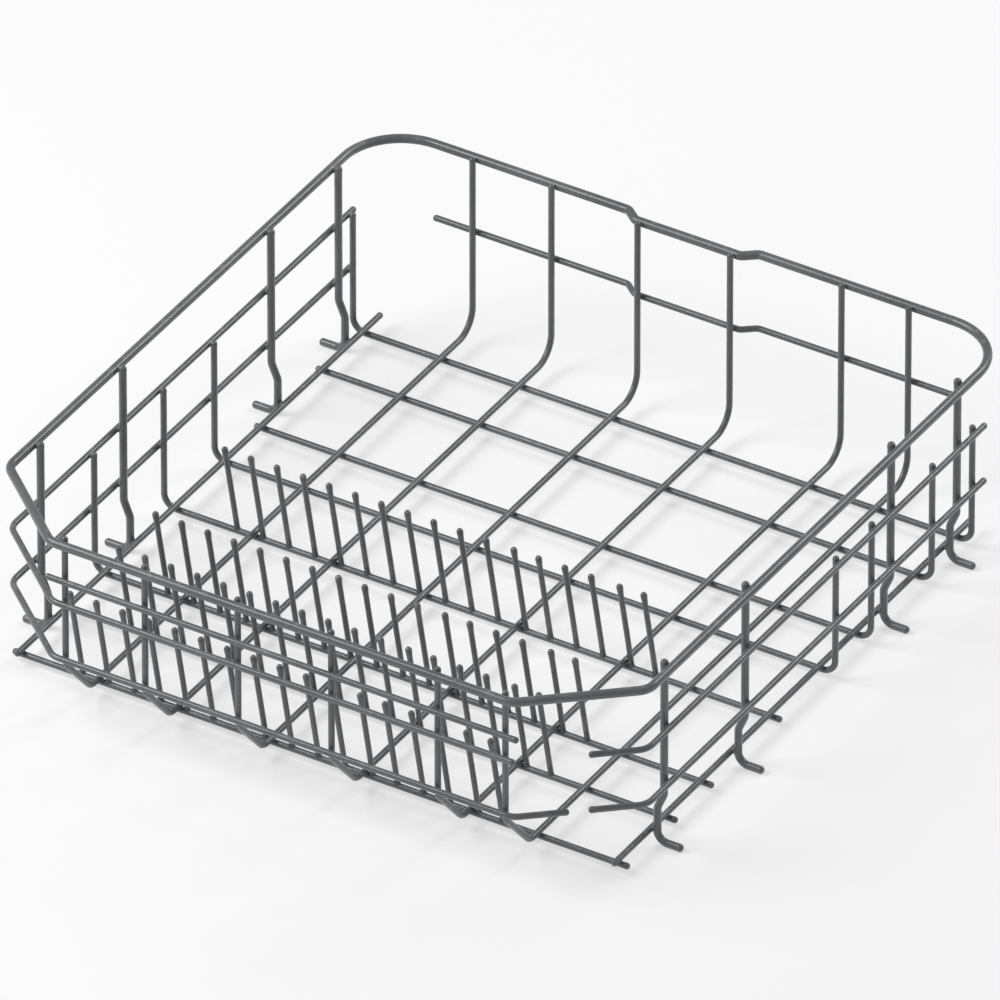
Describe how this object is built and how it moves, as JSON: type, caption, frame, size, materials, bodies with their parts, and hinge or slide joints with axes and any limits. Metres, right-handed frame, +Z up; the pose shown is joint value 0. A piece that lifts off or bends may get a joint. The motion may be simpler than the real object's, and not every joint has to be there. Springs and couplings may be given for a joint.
{
  "type": "dishwasher basket",
  "caption": "Open wire basket of bent and welded coated rods, with a thick rim, plate tines at the front and axle ends for rollers along both sides",
  "frame": {"origin": "middle of the footprint, on the surface that the axle ends rest on", "axes": "+X to the right and +Y to the back as seen from the loading side, +Z up"},
  "size_m": [0.514, 0.5426, 0.151],
  "materials": {
    "coated_wire": "satin plastic coat on steel wire"
  },
  "bodies": {
    "root": {"axle_wire_left_1": "coated_wire", "axle_wire_left_2": "coated_wire", "axle_wire_left_3": "coated_wire", "axle_wire_left_4": "coated_wire", "axle_wire_right_1": "coated_wire", "axle_wire_right_2": "coated_wire", "axle_wire_right_3": "coated_wire", "axle_wire_right_4": "coated_wire", "back_rail": "coated_wire", "cross_wire_1": "coated_wire", "cross_wire_2": "coated_wire", "cross_wire_3": "coated_wire", "cross_wire_4": "coated_wire", "cross_wire_5": "coated_wire", "cross_wire_6": "coated_wire", "cross_wire_7": "coated_wire", "cross_wire_8": "coated_wire", "front_rail": "coated_wire", "long_wire_1": "coated_wire", "long_wire_2": "coated_wire", "long_wire_3": "coated_wire", "long_wire_4": "coated_wire", "long_wire_5": "coated_wire", "long_wire_6": "coated_wire", "lower_hoop_left": "coated_wire", "lower_hoop_right": "coated_wire", "rim_wire": "coated_wire", "side_floor_wire_left": "coated_wire", "side_floor_wire_right": "coated_wire", "tine_row_1": "coated_wire", "tine_row_2": "coated_wire", "tine_row_3": "coated_wire", "tine_row_4": "coated_wire", "upper_hoop_left": "coated_wire", "upper_hoop_right": "coated_wire"}
  },
  "joints": []
}
